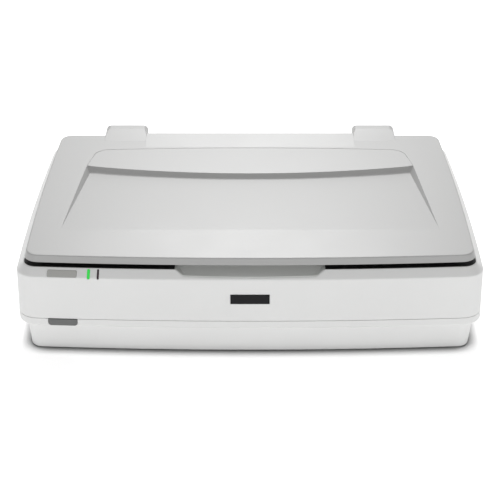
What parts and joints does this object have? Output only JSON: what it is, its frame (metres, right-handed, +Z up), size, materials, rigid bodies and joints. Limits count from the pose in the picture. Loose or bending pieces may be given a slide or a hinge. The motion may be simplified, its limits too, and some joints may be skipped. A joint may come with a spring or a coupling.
{
  "type": "flatbed scanner",
  "caption": "Large-format flatbed scanner: white bevelled case, black-framed glass, grey document cover on lift-out hinges, moving optical carriage.",
  "frame": {"origin": "centre of the footprint, at the table the rubber feet stand on", "axes": "+Z up, +X to the right seen from the front, front towards -Y"},
  "size_m": [0.656, 0.4586, 0.158],
  "materials": {
    "case_white": "fine grain",
    "cover_grey": "fine grain",
    "frame_black": "satin",
    "scoop_grey": "fine grain",
    "float_glass": "polished",
    "reference_white": "flat",
    "foot_rubber": "matt",
    "screw_steel": "zinc plated",
    "badge_black": "gloss",
    "start_grey": "satin",
    "power_grey": "satin",
    "green_light": "clear moulding",
    "red_light": "dark tinted moulding",
    "board_green": "solder mask",
    "switch_black": "satin",
    "sheet_steel": "zinc coated sheet",
    "shaft_steel": "ground",
    "spring_steel": "oiled wire",
    "socket_metal": "nickel plated",
    "socket_black": "satin",
    "lock_grey": "satin",
    "black_moulding": "fine grain",
    "bronze": "sintered",
    "slide_white": "waxy",
    "belt_rubber": "toothed",
    "motor_black": "satin",
    "pulley_brass": "turned",
    "lamp_white": "diffusing",
    "mirror_glass": "front silvered",
    "bright_strip": "polished",
    "ribbon_white": "flat",
    "panel_grey": "fine grain",
    "mat_white": "soft sheet on foam"
  },
  "bodies": {
    "case": {"upper_case": "case_white", "lower_case": "case_white", "table_frame": "frame_black", "grip_scoop": "scoop_grey", "document_glass": "float_glass", "calibration_strip": "reference_white", "rubber_feet": "foot_rubber", "case_screws": "screw_steel", "chassis_screws": "screw_steel", "badge_plate": "badge_black", "ready_light": "green_light", "error_light": "red_light", "panel_board": "board_green", "power_switch": "switch_black", "port_plate": "sheet_steel", "usb_port": "socket_metal", "option_port": "socket_metal", "power_inlet": "socket_black", "base_chassis": "sheet_steel", "guide_shaft": "shaft_steel", "shaft_holders": "black_moulding", "slide_rail": "sheet_steel", "main_board": "board_green", "power_supply": "board_green", "supply_shield": "sheet_steel", "home_sensor": "switch_black", "drive_axle": "sheet_steel", "idler_bracket": "sheet_steel", "tension_spring": "spring_steel", "motor_bracket": "sheet_steel", "stepper_motor": "motor_black", "drive_belt": "belt_rubber", "reduction_belt": "belt_rubber", "ribbon_cable": "ribbon_white", "hinge_sockets": "slide_white"},
    "hinges": {"hinge_posts": "slide_white", "hinge_springs": "spring_steel"},
    "cover": {"cover_shell": "cover_grey", "cover_panel": "panel_grey", "cover_screws": "screw_steel", "document_mat": "mat_white", "hinge_brackets": "sheet_steel", "hinge_pins": "shaft_steel"},
    "carriage": {"carriage_housing": "black_moulding", "carriage_cover": "black_moulding", "lamp_bars": "lamp_white", "lamp_reflectors": "bright_strip", "folding_mirrors": "mirror_glass", "lens_barrel": "black_moulding", "sensor_board": "board_green", "shaft_bushes": "bronze", "bush_saddles": "black_moulding", "slider_pad": "slide_white", "belt_clamp": "black_moulding"},
    "start_key": {"start_button": "start_grey"},
    "power_key": {"power_button": "power_grey"},
    "lock": {"transport_lock": "lock_grey"},
    "drive_wheel": {"drive_pulley": "slide_white"},
    "idler_wheel": {"idler_pulley": "slide_white"},
    "motor_wheel": {"motor_pulley": "pulley_brass"}
  },
  "joints": [
    {"name": "hinge_lift", "type": "slide", "parent": "case", "child": "hinges", "axis": [0, 0, 1], "range_m": [0, 0.03]},
    {"name": "cover_hinge", "type": "hinge", "parent": "hinges", "child": "cover", "pos_m": [0, 0.213, 0.15], "axis": [-1, 0, 0], "range_deg": [0, 75]},
    {"name": "carriage_travel", "type": "slide", "parent": "case", "child": "carriage", "axis": [1, 0, 0], "range_m": [0, 0.45]},
    {"name": "drive_wheel_spin", "type": "hinge", "parent": "case", "child": "drive_wheel", "pos_m": [0.24, 0.16, 0.044], "axis": [0, 0, 1], "range_deg": [0, 2870]},
    {"name": "idler_wheel_spin", "type": "hinge", "parent": "case", "child": "idler_wheel", "pos_m": [-0.266, 0.16, 0.044], "axis": [0, 0, 1], "range_deg": [0, 2870]},
    {"name": "motor_wheel_spin", "type": "hinge", "parent": "case", "child": "motor_wheel", "pos_m": [0.24, 0.085, 0.03], "axis": [0, 0, 1], "range_deg": [0, 9513]},
    {"name": "start_press", "type": "slide", "parent": "case", "child": "start_key", "axis": [0.0387, 0.7231, -0.6897], "range_m": [0, 0.0012], "stiffness_N_per_m": 900},
    {"name": "power_press", "type": "slide", "parent": "case", "child": "power_key", "axis": [0.0538, 0.9986, 0], "range_m": [0, 0.0015], "stiffness_N_per_m": 900},
    {"name": "lock_turn", "type": "hinge", "parent": "case", "child": "lock", "pos_m": [-0.222, 0.21667, 0.03], "axis": [0, -1, 0], "range_deg": [0, 90]}
  ],
  "couplings": [
    {"joint": "drive_wheel_spin", "follows": "carriage_travel", "rad_per_m": 111.11},
    {"joint": "idler_wheel_spin", "follows": "carriage_travel", "rad_per_m": 111.11},
    {"joint": "motor_wheel_spin", "follows": "carriage_travel", "rad_per_m": 368.76}
  ]
}
